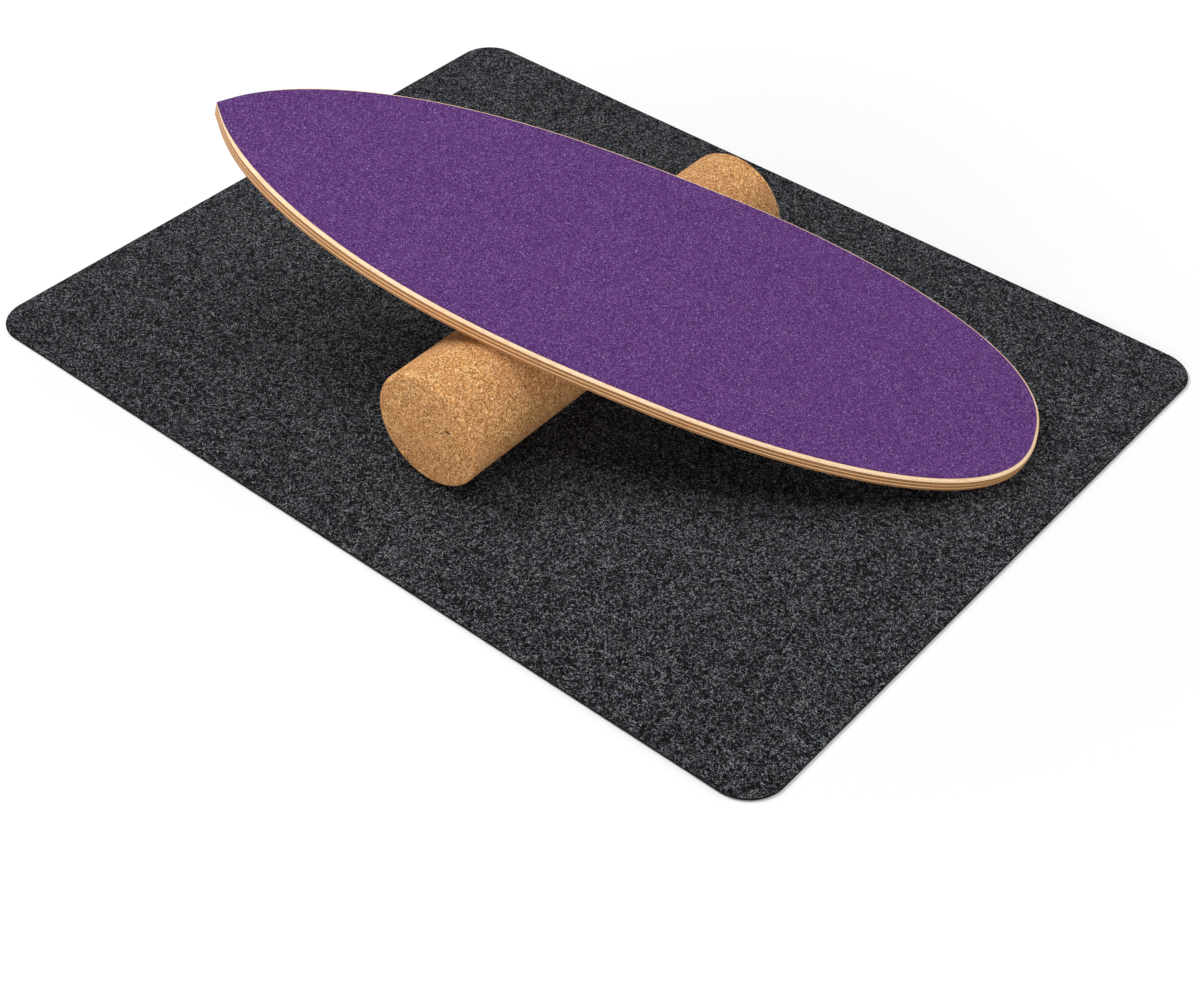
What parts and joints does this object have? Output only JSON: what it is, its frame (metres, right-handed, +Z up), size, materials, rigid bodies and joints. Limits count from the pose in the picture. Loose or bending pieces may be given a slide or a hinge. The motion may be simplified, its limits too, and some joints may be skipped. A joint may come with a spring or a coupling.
{
  "type": "balance roller board",
  "caption": "Surf-shaped plywood balance board with a grip top, leaning over a cork roller on a thin felt mat; the roller travels and the board see-saws over it.",
  "frame": {"origin": "centre of the mat's underside, on the floor", "axes": "+Z up, +X along the mat's long side towards the board's tail, +Y across the mat along the roller, away from the viewer"},
  "size_m": [0.808, 0.625, 0.2009],
  "materials": {
    "felt": "needled charcoal felt, mottled with lighter fibres",
    "cork": "sanded pressed cork granules with darker flecks",
    "face_veneer": "pale veneer, sanded and satin varnished",
    "cross_veneer": "end grain of the cross veneers, darker, satin varnished",
    "grip": "matt purple grit with pale specks"
  },
  "bodies": {
    "mat": {"felt_mat": "felt"},
    "roller": {"cork_roller": "cork"},
    "board": {"ply_1_bottom_face": "face_veneer", "ply_2_cross": "cross_veneer", "ply_3_long": "face_veneer", "ply_4_middle_cross": "cross_veneer", "ply_5_long": "face_veneer", "ply_6_cross": "cross_veneer", "ply_7_top_face": "face_veneer", "grip_sheet": "grip"}
  },
  "joints": [
    {"name": "roller_travel", "type": "slide", "parent": "mat", "child": "roller", "axis": [0.9998, 0.0192, 0], "range_m": [-0.08, 0.04]},
    {"name": "board_tilt", "type": "hinge", "parent": "roller", "child": "board", "pos_m": [0.0091, -0.0153, 0.0528], "axis": [0.0192, -0.9998, 0], "range_deg": [0, 35]}
  ]
}
